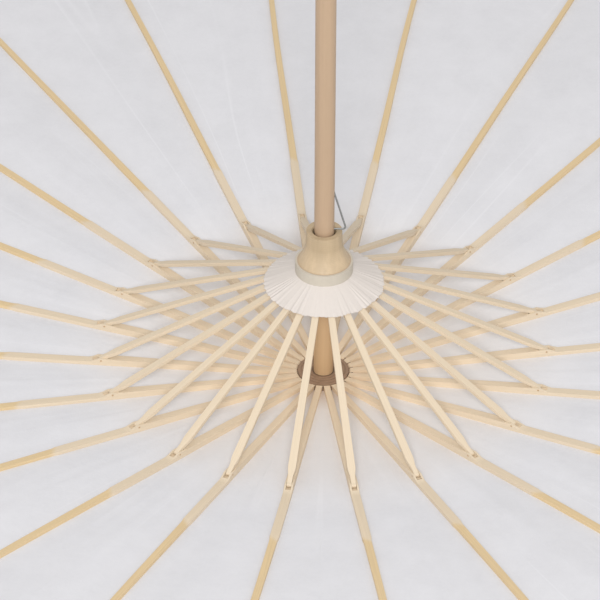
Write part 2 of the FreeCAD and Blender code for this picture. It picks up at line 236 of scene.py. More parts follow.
def grown(tree, name, values):
    """Runs a geometry tree once and keeps the plain mesh that it makes."""
    holder = bpy.data.objects.new(name, bpy.data.meshes.new(name + "_seed"))
    bpy.context.scene.collection.objects.link(holder)
    modifier = holder.modifiers.new("Grow", "NODES")
    modifier.node_group = tree
    for item in tree.interface.items_tree:
        if item.item_type == "SOCKET" and item.in_out == "INPUT" and item.name in values:
            modifier[item.identifier] = values[item.name]
    bpy.context.view_layer.update()
    ready = holder.evaluated_get(bpy.context.evaluated_depsgraph_get())
    mesh = bpy.data.meshes.new_from_object(ready)
    mesh.name = name
    holder.modifiers.remove(modifier)
    seed = holder.data
    holder.data = mesh
    bpy.data.meshes.remove(seed)
    return holder


def smooth_by_angle(piece, degrees):
    """Smooth shading that keeps the edges sharper than an angle."""
    shape = bmesh.new()
    shape.from_mesh(piece.data)
    for face in shape.faces:
        face.smooth = True
    limit = math.radians(degrees)
    for edge in shape.edges:
        edge.smooth = len(edge.link_faces) == 2 and edge.calc_face_angle(0.0) < limit
    shape.to_mesh(piece.data)
    shape.free()


# ---- shared finishes --------------------------------------------------------

def group(name, inputs, outputs):
    tree = bpy.data.node_groups.new(name, "ShaderNodeTree")
    for label, kind, default in inputs:
        socket_in(tree, label, kind, default)
    for label, kind in outputs:
        socket_out(tree, label, kind)
    wire = Wiring(tree)
    return tree, wire, wire.add("NodeGroupInput").outputs


def fibre_group():
    """Long fibres: fine streaks, broader bands and the height they leave on the surface."""
    tree, wire, given = group(
        "Fibres",
        [("Coordinates", "NodeSocketVector", None), ("Stretch", "NodeSocketVector", (1.0, 60.0, 60.0)),
         ("Fineness", "NodeSocketFloat", 10.0)],
        [("Streaks", "NodeSocketFloat"), ("Bands", "NodeSocketFloat"), ("Height", "NodeSocketFloat")])
    along = wire.scaled(given["Coordinates"], given["Stretch"])
    fine = wire.noise(along, given["Fineness"], 4.0, 0.65)
    broad = wire.noise(along, wire.math("MULTIPLY", given["Fineness"], 0.22), 2.0)
    streaks = wire.ramp(fine, 0.35, 0.7)
    bands = wire.ramp(broad, 0.3, 0.7)
    height = wire.math("MULTIPLY_ADD", bands, 0.35, wire.math("MULTIPLY", streaks, 0.65))
    wire.add("NodeGroupOutput", {"Streaks": streaks, "Bands": bands, "Height": height})
    return tree


def turning_group():
    """Fine rings that a lathe tool leaves, from the distance to the pole's axis and the height."""
    tree, wire, given = group(
        "Turning marks",
        [("Coordinates", "NodeSocketVector", None), ("Spacing", "NodeSocketFloat", 0.0009)],
        [("Rings", "NodeSocketFloat"), ("Height", "NodeSocketFloat")])
    z = wire.separate(given["Coordinates"])[2]
    radius = wire.from_axis(given["Coordinates"])
    place = wire.combine(radius, wire.math("MULTIPLY", z, 0.7), 0.0)
    drift = wire.noise(place, 700.0, 2.0)
    path = wire.math("ADD", radius, wire.math("MULTIPLY", z, 0.7))
    turns = wire.math("DIVIDE", path, given["Spacing"])
    phase = wire.math("MULTIPLY_ADD", drift, 5.0, wire.math("MULTIPLY", turns, math.tau))
    wave = wire.math("SINE", phase)
    rings = wire.ramp(wave, -1.0, 1.0)
    height = wire.math("MULTIPLY", rings, drift)
    wire.add("NodeGroupOutput", {"Rings": rings, "Height": height})
    return tree


def paper_group():
    """Handmade paper: crossed threads, long fibres, soft clouding and pale creases that run outwards."""
    tree, wire, given = group(
        "Paper",
        [("Coordinates", "NodeSocketVector", None), ("Thread", "NodeSocketFloat", 1500.0)],
        [("Clouds", "NodeSocketFloat"), ("Fibres", "NodeSocketFloat"), ("Creases", "NodeSocketFloat"),
         ("Height", "NodeSocketFloat")])
    place = given["Coordinates"]
    warp = wire.noise(wire.scaled(place, (1.0, 0.06, 1.0)), given["Thread"], 1.0)
    weft = wire.noise(wire.scaled(place, (0.06, 1.0, 1.0)), given["Thread"], 1.0)
    threads = wire.math("MULTIPLY", wire.math("ADD", warp, weft), 0.5)
    clouds = wire.ramp(wire.noise(place, 40.0, 5.0, 0.7), 0.3, 0.7)
    fibres = wire.ramp(wire.noise(place, 420.0, 5.0, 0.7), 0.4, 0.75)
    x, y = wire.separate(place)[:2]
    turn = wire.math("ARCTAN2", y, x)
    creases_round = 9.0
    fan = wire.combine(
        wire.math("MULTIPLY", wire.math("COSINE", turn), creases_round),
        wire.math("MULTIPLY", wire.math("SINE", turn), creases_round),
        wire.math("MULTIPLY", wire.from_axis(place), 1.6))
    swing = wire.math("ABSOLUTE", wire.math("SUBTRACT", wire.noise(fan, 1.0, 1.0), 0.5))
    patch = wire.ramp(wire.noise(place, 8.0, 1.0), 0.42, 0.66)
    creases = wire.math("MULTIPLY", wire.ramp(swing, 0.0, 0.016, 1.0, 0.0), patch)
    height = wire.math("MULTIPLY_ADD", fibres, 0.4, threads)
    wire.add("NodeGroupOutput", {"Clouds": clouds, "Fibres": fibres, "Creases": creases, "Height": height})
    return tree


GROUPS = {}


def shared(name):
    """A shared node group, built the first time that it is asked for."""
    makers = {"Fibres": fibre_group, "Turning marks": turning_group, "Paper": paper_group}
    if name not in GROUPS:
        GROUPS[name] = makers[name]()
    return GROUPS[name]


def place_group(wire, name, inputs):
    node = wire.add("ShaderNodeGroup")
    node.node_tree = shared(name)
    for key, value in inputs.items():
        wire.feed(node.inputs[key], value)
    return node.outputs


def new_material(name, roughness, specular=0.5):
    material = bpy.data.materials.new(name)
    material.use_nodes = True
    wire = Wiring(material.node_tree)
    shader = material.node_tree.nodes["Principled BSDF"]
    shader.inputs["Roughness"].default_value = roughness
    shader.inputs["Specular IOR Level"].default_value = specular
    return material, wire, shader


def set_bump(wire, shader, height, strength, distance):
    bump = wire.add("ShaderNodeBump", {"Height": height, "Strength": strength, "Distance": distance})
    wire.feed(shader.inputs["Normal"], bump.outputs[0])


def object_place(wire):
    return wire.add("ShaderNodeTexCoord").outputs["Object"]


def own_place(wire, name):
    return wire.add("ShaderNodeAttribute", attribute_name=name).outputs["Vector"]


def shade(colour, factor):
    return tuple(min(1.0, part * factor) for part in colour[:3]) + (1.0,)


# ---- materials --------------------------------------------------------------

def bamboo_material(settings, shoulder):
    """Pale pared bamboo. A rib has painted light near the head, lifting the shade that falls there, and tan
    skin past its shoulder.
    """
    material, wire, shader = new_material("Split bamboo", 0.55)
    place = own_place(wire, "grain")
    fibres = place_group(wire, "Fibres", {
        "Coordinates": place, "Stretch": (1.0, 90.0, 90.0), "Fineness": 22.0})
    along, across = wire.separate(place)[:2]
    pared, outer = settings.pared_colour, settings.skin_colour
    pale = wire.blend(fibres["Streaks"], shade(pared, 0.93), shade(pared, 1.03))
    pale = wire.blend(wire.math("MULTIPLY", fibres["Bands"], 0.35), pale, shade(pared, 0.88))
    skin = wire.blend(fibres["Streaks"], shade(outer, 0.9), shade(outer, 1.05))
    if shoulder:
        ragged = wire.math("MULTIPLY_ADD", across, 0.9, along)
        edge = wire.ramp(ragged, shoulder, shoulder + 0.004)
        # painted light: the pared wood turns lighter towards the head, where shade falls among the ribs and
        # stretchers
        near_head = wire.ramp(along, 0.0, 0.12, 1.0, 0.0)
        lit_near_head = wire.blend(near_head, pale, wire.scaled(pale, (1.24, 1.2, 1.16)))
        tone = wire.blend(edge, lit_near_head, skin)
    else:
        tone = pale
    wire.feed(shader.inputs["Base Color"], tone)
    wire.feed(shader.inputs["Roughness"], wire.ramp(fibres["Bands"], 0.0, 1.0, 0.5, 0.66))
    set_bump(wire, shader, fibres["Height"], 0.35, 0.00015)
    return material


def tint_by_place(wire, base, place, bounds):
    """Tints a colour where the distance from the axis, "r", or the height, "z", nears a place: painted bounce
    light on the pole, painted shade on the head and a darker lower end on the runner.
    """
    for kind, start, end, tint in bounds:
        reach = wire.from_axis(place) if kind == "r" else wire.separate(place)[2]
        share = wire.ramp(reach, start, end) if start < end else wire.ramp(reach, end, start, 1.0, 0.0)
        base = wire.blend(share, base, wire.scaled(base, tint))
    return base


def turned_material(name, colour, streak, marks, roughness, bounds=()):
    """Turned wood with its grain up the pole and rings from the tool."""
    material, wire, shader = new_material(name, roughness)
    place = object_place(wire)
    fibres = place_group(wire, "Fibres", {
        "Coordinates": place, "Stretch": (60.0, 60.0, 1.6), "Fineness": 9.0})
    turning = place_group(wire, "Turning marks", {"Coordinates": place, "Spacing": 0.0011})
    base = wire.blend(fibres["Bands"], shade(colour, 1.0 + streak), shade(colour, 1.0 - streak))
    base = wire.blend(wire.math("MULTIPLY", fibres["Streaks"], 0.45), base, shade(colour, 1.0 - 1.6 * streak))
    base = wire.blend(wire.math("MULTIPLY", turning["Rings"], marks), base, shade(colour, 0.62))
    wire.feed(shader.inputs["Base Color"], tint_by_place(wire, base, place, bounds))
    wire.feed(shader.inputs["Roughness"], wire.ramp(fibres["Streaks"], 0.0, 1.0, roughness, roughness + 0.12))
    height = wire.math("MULTIPLY_ADD", turning["Height"], marks, wire.math("MULTIPLY", fibres["Height"], 0.5))
    set_bump(wire, shader, height, 0.3, 0.0002)
    return material


def paper_material(name, colour, thread, tint, light_and_shade_rings=()):
    """Paper, with rings of painted light and painted shade, each (full within, gone beyond, colour, strength)
    by the distance from the axis.
    """
    material, wire, shader = new_material(name, 0.82, 0.3)
    place = own_place(wire, "sheet")
    paper = place_group(wire, "Paper", {"Coordinates": place, "Thread": thread})
    base = wire.blend(paper["Clouds"], shade(colour, 1.0 - tint), shade(colour, 1.0 + tint))
    base = wire.blend(wire.math("MULTIPLY", paper["Fibres"], 0.35), base, shade(colour, 1.06))
    base = wire.blend(wire.math("MULTIPLY", paper["Creases"], 0.6), base, shade(colour, 1.1))
    for within, beyond, tone, strength in light_and_shade_rings:
        share = wire.ramp(wire.from_axis(place), within, beyond, strength, 0.0)
        base = wire.blend(share, base, shade(tone, 1.0))
    wire.feed(shader.inputs["Base Color"], base)
    set_bump(wire, shader, paper["Height"], 0.25, 0.0002)
    return material


def wire_material(name, colour):
    material, wire, shader = new_material(name, 0.38)
    place = object_place(wire)
    scratches = wire.noise(wire.scaled(place, (30.0, 30.0, 400.0)), 20.0, 3.0)
    wire.feed(shader.inputs["Base Color"], wire.blend(scratches, shade(colour, 0.8), shade(colour, 1.1)))
    wire.feed(shader.inputs["Roughness"], wire.ramp(scratches, 0.3, 0.7, 0.42, 0.58))
    shader.inputs["Metallic"].default_value = 0.55
    return material


def paint(node, material):
    """Gives a CAD node's own object a finish."""
    piece = frame["nodes"][node]
    piece.data.materials.clear()
    piece.data.materials.append(material)


# ---- settings ---------------------------------------------------------------

def colour_value(name, description, default):
    """A colour that a user may change."""
    return bpy.props.FloatVectorProperty(
        name=name, description=description, subtype="COLOR", size=3, min=0.0, max=1.0, default=default)


class BambooSettings(bpy.types.PropertyGroup):
    """Sizes and colours of the ribs and stretchers."""
    pared_colour: colour_value("Pared bamboo", "Colour of the pared inner wood", (0.76, 0.635, 0.475))
    skin_colour: colour_value("Bamboo skin", "Colour of the ribs past their shoulder", (0.74, 0.565, 0.33))
    wander: bpy.props.FloatProperty(
        name="Wander", description="How far a rib's tip strays sideways",
        default=0.0016, min=0.0, max=0.004, unit="LENGTH")
    unevenness: bpy.props.FloatProperty(
        name="Unevenness", description="Share by which a strip's width varies",
        default=0.05, min=0.0, max=0.15)


class PaperSettings(bpy.types.PropertyGroup):
    """Shape and colours of the canopy and the collar."""
    canopy_colour: colour_value("Canopy", "Colour of the canopy's paper", (0.72, 0.72, 0.755))
    collar_colour: colour_value("Collar", "Colour of the pleated collar", (0.70, 0.645, 0.605))
    band_colour: colour_value("Band", "Colour of the glued band round the runner", (0.57, 0.52, 0.44))
    # painted light: a warmer, lighter tone for the canopy's paper towards the head, standing in for light
    # bounced off the bamboo
    painted_light_colour: colour_value("Warm", "Colour of the canopy's paper towards the head", (0.88, 0.835, 0.80))
    # painted shade: a dark brown laid into the paper where shade falls, between the rib ends at the canopy's
    # inner edge and on the band's lip under the runner's flange
    painted_shade_colour: colour_value("Glue", "Colour that old glue leaves in the paper", (0.50, 0.34, 0.21))
    thickness: bpy.props.FloatProperty(
        name="Thickness", description="Thickness of the paper",
        default=0.0003, min=0.0001, max=0.001, unit="LENGTH")
    sag: bpy.props.FloatProperty(
        name="Sag", description="How far the paper hangs between two ribs at the rim",
        default=0.0022, min=0.0, max=0.01, unit="LENGTH")
    wrinkle: bpy.props.FloatProperty(
        name="Wrinkle", description="Depth of the fine radial wrinkles",
        default=0.0005, min=0.0, max=0.003, unit="LENGTH")
    pleat: bpy.props.FloatProperty(
        name="Pleat", description="Depth of the collar's pleats at its edge",
        default=0.0007, min=0.0, max=0.003, unit="LENGTH")


class WoodSettings(bpy.types.PropertyGroup):
    """Colours of the turned wood and the wire."""
    pole_colour: colour_value("Pole", "Colour of the pole", (0.48, 0.34, 0.225))
    head_colour: colour_value("Head", "Colour of the stained head and cap", (0.40, 0.26, 0.17))
    runner_colour: colour_value("Runner", "Colour of the runner", (0.60, 0.46, 0.30))
    peg_colour: colour_value("Pegs", "Colour of the pegs in the joints of the ribs", (0.56, 0.38, 0.22))
    wire_colour: colour_value("Wire", "Colour of the catch and the binding wires", (0.30, 0.31, 0.31))


class StageSettings(bpy.types.PropertyGroup):
    """Camera and floor."""
    below: bpy.props.FloatProperty(
        name="Below", description="Angle of the camera's place below the head",
        default=math.radians(37.34), subtype="ANGLE")
    tilt: bpy.props.FloatProperty(
        name="Tilt", description="Angle of the camera's view above the level",
        default=math.radians(36.13), subtype="ANGLE")
    yaw: bpy.props.FloatProperty(
        name="Yaw", description="Sideways turn of the camera",
        default=math.radians(1.6), subtype="ANGLE")
    roll: bpy.props.FloatProperty(
        name="Roll", description="Turn of the camera about its view",
        default=math.radians(0.12), subtype="ANGLE")
    distance: bpy.props.FloatProperty(
        name="Distance", description="From the camera to the head's underside",
        default=2.025, unit="LENGTH")
    aside: bpy.props.FloatProperty(
        name="Aside", description="Sideways place of the camera",
        default=-0.0306, unit="LENGTH")
    lens: bpy.props.FloatProperty(
        name="Lens", description="Focal length in millimetres on a 36 mm sensor", default=198.2)
    floor_drop: bpy.props.FloatProperty(
        name="Floor", description="From the pole's lower end down to the floor",
        default=2.3, unit="LENGTH")


# ---- split bamboo -----------------------------------------------------------

STRIP_INPUTS = [
    ("Stations", "NodeSocketInt", 120), ("Length", "NodeSocketFloat", 0.1),
    ("Width", "NodeSocketFloat", 0.005), ("Depth", "NodeSocketFloat", 0.004),
    ("Top", "NodeSocketFloat", 0.0015), ("Azimuth", "NodeSocketFloat", 0.0),
    ("Slope", "NodeSocketFloat", 0.0), ("Start Radius", "NodeSocketFloat", 0.0),
    ("Start Height", "NodeSocketFloat", 0.0), ("Wander", "NodeSocketFloat", 0.0),
    ("Unevenness", "NodeSocketFloat", 0.0), ("Seed", "NodeSocketFloat", 0.0),
    ("Bamboo", "NodeSocketMaterial", None), ("Pin", "NodeSocketMaterial", None)]


def bar(wire, radius, length, x, z):
    """A round bar across a strip."""
    inputs = {"Vertices": 20, "Radius": radius, "Depth": length}
    shape = wire.add("GeometryNodeMeshCylinder", inputs)
    turn = {"Geometry": shape.outputs[0], "Translation": (x, 0.0, z), "Rotation": (math.pi / 2, 0.0, 0.0)}
    return wire.add("GeometryNodeTransform", turn).outputs[0]


def slot_block(wire, x_from, x_to, width, z_from, z_to):
    size = (x_to - x_from, width, z_to - z_from)
    middle = ((x_from + x_to) / 2, 0.0, (z_from + z_to) / 2)
    shape = wire.add("GeometryNodeMeshCube", {"Size": size})
    return wire.add("GeometryNodeTransform", {"Geometry": shape.outputs[0], "Translation": middle}).outputs[0]


def strip_tree(name, width_rule, depth_rule, stray_from, eyes, holes, slots, pins):
    """A strip along X whose width and depth follow two rules, then cut, turned and placed."""
    tree, wire, given = geometry_tree(name, STRIP_INPUTS)
    tube = wire.add("GeometryNodeMeshCylinder", {
        "Vertices": 16, "Side Segments": given["Stations"], "Radius": 1.0, "Depth": 1.0})
    px, py, pz = wire.separate(wire.add("GeometryNodeInputPosition").outputs[0])[:3]
    share = wire.math("ADD", pz, 0.5)
    along = wire.math("MULTIPLY", share, given["Length"])
    square = 1.38       # how far the round section is pushed out before it is cut to a square
    side = wire.math("MAXIMUM", wire.math("MINIMUM", wire.math("MULTIPLY", px, square), 1.0), -1.0)
    level = wire.math("MAXIMUM", wire.math("MINIMUM", wire.math("MULTIPLY", py, square), 1.0), -1.0)
    seeded = wire.combine(wire.math("MULTIPLY", along, 28.0), given["Seed"], 0.0)
    drift = wire.math("SUBTRACT", wire.noise(seeded, 1.0, 2.0), 0.5)
    swell = wire.math("MULTIPLY_ADD", drift, given["Unevenness"], 1.0)
    half_width = wire.math("MULTIPLY", wire.curve(share, width_rule), given["Width"])
    half_width = wire.math("MULTIPLY", wire.math("MULTIPLY", half_width, 0.5), swell)
    depth = wire.math("MULTIPLY", wire.math("MULTIPLY", wire.curve(share, depth_rule), given["Depth"]), swell)
    slow = wire.combine(wire.math("MULTIPLY", along, 5.0), wire.math("ADD", given["Seed"], 40.0), 0.0)
    stray = wire.math("SUBTRACT", wire.noise(slow, 1.0, 0.0), 0.5)
    reach = wire.math("MULTIPLY", wire.ramp(share, stray_from, 1.0), given["Wander"])
    stray = wire.math("MULTIPLY", wire.math("MULTIPLY", stray, 4.0), reach)
    across = wire.math("MULTIPLY_ADD", side, half_width, stray)
    lift = wire.math("MULTIPLY", wire.math("MULTIPLY", wire.math("SUBTRACT", 1.0, level), 0.5), depth)
    height = wire.math("SUBTRACT", given["Top"], lift)
    placed = wire.combine(along, across, height)
    shaped = wire.add("GeometryNodeSetPosition", {"Geometry": tube.outputs[0], "Position": placed})
    strip = shaped.outputs[0]
    if eyes:
        union = wire.add("GeometryNodeMeshBoolean", operation="UNION", solver="EXACT")
        for part in [strip] + [bar(wire, *eye) for eye in eyes]:
            wire.tree.links.new(part, union.inputs["Mesh 2"])
        strip = union.outputs[0]
    cutters = [bar(wire, *hole) for hole in holes] + [slot_block(wire, *slot) for slot in slots]
    if cutters:
        cut = wire.add("GeometryNodeMeshBoolean", {"Mesh 1": strip}, operation="DIFFERENCE", solver="EXACT")
        for cutter in cutters:
            wire.tree.links.new(cutter, cut.inputs["Mesh 2"])
        strip = cut.outputs[0]
    flagged = wire.add("GeometryNodeStoreNamedAttribute", {
        "Geometry": strip, "Name": "pin_share", "Value": 0.0}, data_type="FLOAT", domain="FACE")
    joined = wire.add("GeometryNodeJoinGeometry")
    wire.tree.links.new(flagged.outputs[0], joined.inputs[0])
    for pin in pins:
        marked = wire.add("GeometryNodeStoreNamedAttribute", {
            "Geometry": bar(wire, *pin), "Name": "pin_share", "Value": 1.0}, data_type="FLOAT", domain="FACE")
        wire.tree.links.new(marked.outputs[0], joined.inputs[0])
    ax, ay, az = wire.separate(wire.add("GeometryNodeInputPosition").outputs[0])[:3]
    offset = wire.math("MULTIPLY", given["Seed"], 0.13)
    grain = wire.combine(ax, ay, wire.math("ADD", az, offset))
    stored = wire.add("GeometryNodeStoreNamedAttribute", {
        "Geometry": joined.outputs[0], "Name": "grain", "Value": grain},
        data_type="FLOAT_VECTOR", domain="POINT")
    turn = wire.combine(0.0, given["Slope"], given["Azimuth"])
    where = wire.combine(
        wire.math("MULTIPLY", wire.math("COSINE", given["Azimuth"]), given["Start Radius"]),
        wire.math("MULTIPLY", wire.math("SINE", given["Azimuth"]), given["Start Radius"]),
        given["Start Height"])
    moved = wire.add("GeometryNodeTransform", {
        "Geometry": stored.outputs[0], "Translation": where, "Rotation": turn})
    real = wire.add("GeometryNodeRealizeInstances", {0: moved.outputs[0]})
    bamboo = wire.add("GeometryNodeSetMaterial", {0: real.outputs[0], "Material": given["Bamboo"]})
    is_pin = wire.add("GeometryNodeInputNamedAttribute", {"Name": "pin_share"}, data_type="FLOAT")
    chosen = wire.add("FunctionNodeCompare", {0: is_pin.outputs[0], 1: 0.5},
                      data_type="FLOAT", operation="GREATER_THAN")
    pinned = wire.add("GeometryNodeSetMaterial", {
        0: bamboo.outputs[0], "Selection": chosen.outputs[0], "Material": given["Pin"]})
    wire.add("NodeGroupOutput", {0: pinned.outputs[0]})
    return tree


# A rib's own sizes, along it from the head pivot
RIB_SLOPE = math.radians(8.5)
RIB_EYE = 0.0015
RIB_TONGUE = 0.00375
RIB_WIDE = 0.00525
RIB_OUTER = 0.0044
RIB_TIP = 0.0032
RIB_LENGTH = (RIB_REACH - HEAD_PIVOT_R) / math.cos(RIB_SLOPE) - RIB_EYE * math.tan(RIB_SLOPE)
JOINT_OUT = RIB_JOINT_R - HEAD_PIVOT_R
JOINT_DOWN = HEAD_PIVOT_Z - RIB_JOINT_Z
RIB_JOINT_AT = JOINT_OUT * math.cos(RIB_SLOPE) + JOINT_DOWN * math.sin(RIB_SLOPE)
JOINT_DROP = JOINT_DOWN * math.cos(RIB_SLOPE) - JOINT_OUT * math.sin(RIB_SLOPE)
JOINT_WALL = 0.00135
JOINT_PIN_R = 0.0006
CHEEK = 0.003
CHEEK_RUNOUT = 0.002
RIB_SHOULDER_AT = 0.176
WIRE_HOLE_R = WIRE_R + 0.0002

# A stretcher's own sizes
STRETCHER_EYE = 0.0012
STRETCHER_WIDE = 0.0047
STRETCHER_NARROW = 0.0040
OUTER_TONGUE = 0.0028
INNER_TONGUE = 0.0029
SLOT_PLAY = 0.0003
PIN_PLAY = 0.00005
HOLE_LENGTH = 0.01       # of the cutters, longer than any strip is wide


def rib_rules():
    """Width and depth of a rib as shares of its widest and deepest, over its length."""
    deep = RIB_EYE + JOINT_DROP + JOINT_WALL
    at = RIB_LENGTH
    cheek_end = RIB_JOINT_AT + CHEEK
    width = [(0.0, RIB_TONGUE), (0.006, RIB_TONGUE), (RIB_JOINT_AT, RIB_WIDE), (RIB_SHOULDER_AT, RIB_WIDE),
             (RIB_SHOULDER_AT + 0.002, RIB_OUTER), (at, RIB_TIP)]
    depth = [(0.0, 2 * RIB_EYE), (RIB_JOINT_AT, deep), (cheek_end, deep), (cheek_end + CHEEK_RUNOUT, 0.0025),
             (RIB_SHOULDER_AT, 0.0025), (RIB_SHOULDER_AT + 0.001, 0.0023), (at, 0.0018)]
    return [(x / at, y / RIB_WIDE) for x, y in width], deep, [(x / at, y / deep) for x, y in depth]


def make_ribs(settings, bamboo, pin):
    width_rule, deep, depth_rule = rib_rules()
    slot_back = RIB_JOINT_AT - 4.2 * STRETCHER_EYE
    slot_front = RIB_JOINT_AT + CHEEK + CHEEK_RUNOUT
    slot_top = STRETCHER_EYE + SLOT_PLAY - JOINT_DROP
    tree = strip_tree(
        "Rib", width_rule, depth_rule, RIB_JOINT_AT / RIB_LENGTH,
        [(RIB_EYE, RIB_TONGUE, 0.0, 0.0)],
        [(WIRE_HOLE_R, HOLE_LENGTH, 0.0, 0.0),
         (JOINT_PIN_R + PIN_PLAY, HOLE_LENGTH, RIB_JOINT_AT, -JOINT_DROP)],
        [(slot_back, slot_front, OUTER_TONGUE + SLOT_PLAY, -HOLE_LENGTH, slot_top)],
        [(JOINT_PIN_R, RIB_WIDE, RIB_JOINT_AT, -JOINT_DROP)])
    for number in range(1, RIB_COUNT + 1):
        name = "rib_%02d" % number
        piece = grown(tree, name + "_bamboo", {
            "Stations": 150, "Length": RIB_LENGTH, "Width": RIB_WIDE, "Depth": deep, "Top": RIB_EYE,
            "Azimuth": azimuth(number), "Slope": RIB_SLOPE, "Start Radius": HEAD_PIVOT_R,
            "Start Height": HEAD_PIVOT_Z, "Wander": settings.wander,
            "Unevenness": settings.unevenness, "Seed": number * 7.31, "Bamboo": bamboo, "Pin": pin})
        finish_strip(piece, name)


def make_stretchers(settings, bamboo, pin):
    run = RIB_JOINT_R - RUNNER_PIVOT_R
    drop = RIB_JOINT_Z - RUNNER_PIVOT_Z
    length = math.hypot(run, drop)
    width = [(0.0, OUTER_TONGUE), (0.0055, OUTER_TONGUE), (0.0105, STRETCHER_WIDE),
             (length - 0.022, STRETCHER_NARROW), (length - 0.015, STRETCHER_NARROW),
             (length - 0.011, INNER_TONGUE), (length, INNER_TONGUE)]
    width_rule = [(x / length, y / STRETCHER_WIDE) for x, y in width]
    even = [(0.0, 1.0), (1.0, 1.0)]
    never = 2.0         # past the strip's end, so it stays straight
    tree = strip_tree(
        "Stretcher", width_rule, even, never,
        [(STRETCHER_EYE, OUTER_TONGUE, 0.0, 0.0), (STRETCHER_EYE, INNER_TONGUE, length, 0.0)],
        [(JOINT_PIN_R + PIN_PLAY, HOLE_LENGTH, 0.0, 0.0), (WIRE_HOLE_R, HOLE_LENGTH, length, 0.0)], [], [])
    slope = math.pi - math.atan2(drop, run)
    for number in range(1, RIB_COUNT + 1):
        name = "stretcher_%02d" % number
        piece = grown(tree, name + "_bamboo", {
            "Stations": 70, "Length": length, "Width": STRETCHER_WIDE, "Depth": 2 * STRETCHER_EYE,
            "Top": STRETCHER_EYE, "Azimuth": azimuth(number), "Slope": slope, "Start Radius": RIB_JOINT_R,
            "Start Height": RIB_JOINT_Z, "Wander": 0.0,
            "Unevenness": settings.unevenness, "Seed": number * 5.17 + 3.0, "Bamboo": bamboo, "Pin": pin})
        finish_strip(piece, name)


def finish_strip(piece, node):
    smooth_by_angle(piece, 28.0)
    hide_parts(node)
    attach(piece, node)


# ---- paper ------------------------------------------------------------------

def gap_side(wire, given, across):
    """Half angle on this side of the rib, and the direction, for across from -1 to 1."""
    after = wire.math("GREATER_THAN", across, 0.0)
    change = wire.math("SUBTRACT", given["Half After"], given["Half Before"])
    half = wire.math("MULTIPLY_ADD", after, change, given["Half Before"])
    return half, wire.math("MULTIPLY_ADD", across, half, given["Azimuth"])


def gore_tree():
    """One gore of the canopy: flat between its ribs, with a soft sag and fine radial wrinkles."""
    tree, wire, given = geometry_tree("Gore", [
        ("Rows", "NodeSocketInt", 90), ("Columns", "NodeSocketInt", 25),
        ("Azimuth", "NodeSocketFloat", 0.0), ("Half Before", "NodeSocketFloat", EVEN_GAP / 2),
        ("Half After", "NodeSocketFloat", EVEN_GAP / 2),
        ("Inner Radius", "NodeSocketFloat", 0.012), ("Inner Height", "NodeSocketFloat", 0.5),
        ("Rim Radius", "NodeSocketFloat", 0.42), ("Rim Height", "NodeSocketFloat", 0.44),
        ("Sag", "NodeSocketFloat", 0.002), ("Wrinkle", "NodeSocketFloat", 0.0005),
        ("Paper", "NodeSocketMaterial", None)])
    grid = wire.add("GeometryNodeMeshGrid", {
        "Size X": 1.0, "Size Y": 2.0, "Vertices X": given["Rows"], "Vertices Y": given["Columns"]})
    gx, gy = wire.separate(wire.add("GeometryNodeInputPosition").outputs[0])[:2]
    out = wire.math("ADD", gx, 0.5)
    off = wire.math("ABSOLUTE", gy)
    half, turn = gap_side(wire, given, gy)
    inward = wire.math("MULTIPLY", wire.math("SUBTRACT", 1.0, off), half)
    chord = wire.math("DIVIDE", wire.math("COSINE", half), wire.math("COSINE", inward))
    span = wire.math("SUBTRACT", given["Rim Radius"], given["Inner Radius"])
    ridge = wire.math("MULTIPLY_ADD", out, span, given["Inner Radius"])
    radius = wire.math("MULTIPLY", ridge, chord)
    fall = wire.math("SUBTRACT", given["Rim Height"], given["Inner Height"])
    level = wire.math("MULTIPLY_ADD", out, fall, given["Inner Height"])
    swing = wire.math("COSINE", wire.math("MULTIPLY", off, math.pi))
    hang = wire.math("MULTIPLY", wire.math("MULTIPLY", wire.math("SUBTRACT", 1.0, swing), 0.5), out)
    dip = wire.math("MULTIPLY", hang, given["Sag"])
    cosine = wire.math("COSINE", turn)
    sine = wire.math("SINE", turn)
    wrinkles_round = 26.0
    fan = wire.combine(
        wire.math("MULTIPLY", cosine, wrinkles_round), wire.math("MULTIPLY", sine, wrinkles_round),
        wire.math("MULTIPLY", radius, 9.0))
    crease = wire.math("SUBTRACT", wire.noise(fan, 1.0, 2.5, 0.55), 0.5)
    free = wire.ramp(off, 0.05, 0.35)
    ripple = wire.math("MULTIPLY", wire.math("MULTIPLY", crease, free), given["Wrinkle"])
    ripple = wire.math("MULTIPLY", ripple, wire.ramp(radius, 0.03, 0.2, 0.3, 2.0))
    height = wire.math("ADD", wire.math("SUBTRACT", level, dip), ripple)
    place = wire.combine(
        wire.math("MULTIPLY", cosine, radius), wire.math("MULTIPLY", sine, radius), height)
    shaped = wire.add("GeometryNodeSetPosition", {"Geometry": grid.outputs[0], "Position": place})
    close_tree(wire, shaped.outputs[0], given["Paper"])
    return tree


def thicken(piece, thickness):
    """Turns a sheet into a closed skin and stores each corner's rest place for the paper."""
    shape = bmesh.new()
    shape.from_mesh(piece.data)
    bmesh.ops.solidify(shape, geom=shape.faces[:], thickness=thickness)
    bmesh.ops.recalc_face_normals(shape, faces=shape.faces)
    shape.to_mesh(piece.data)
    shape.free()
    smooth_by_angle(piece, 50.0)
    places = piece.data.attributes.new("sheet", "FLOAT_VECTOR", "POINT")
    places.data.foreach_set("vector", [part for corner in piece.data.vertices for part in corner.co])


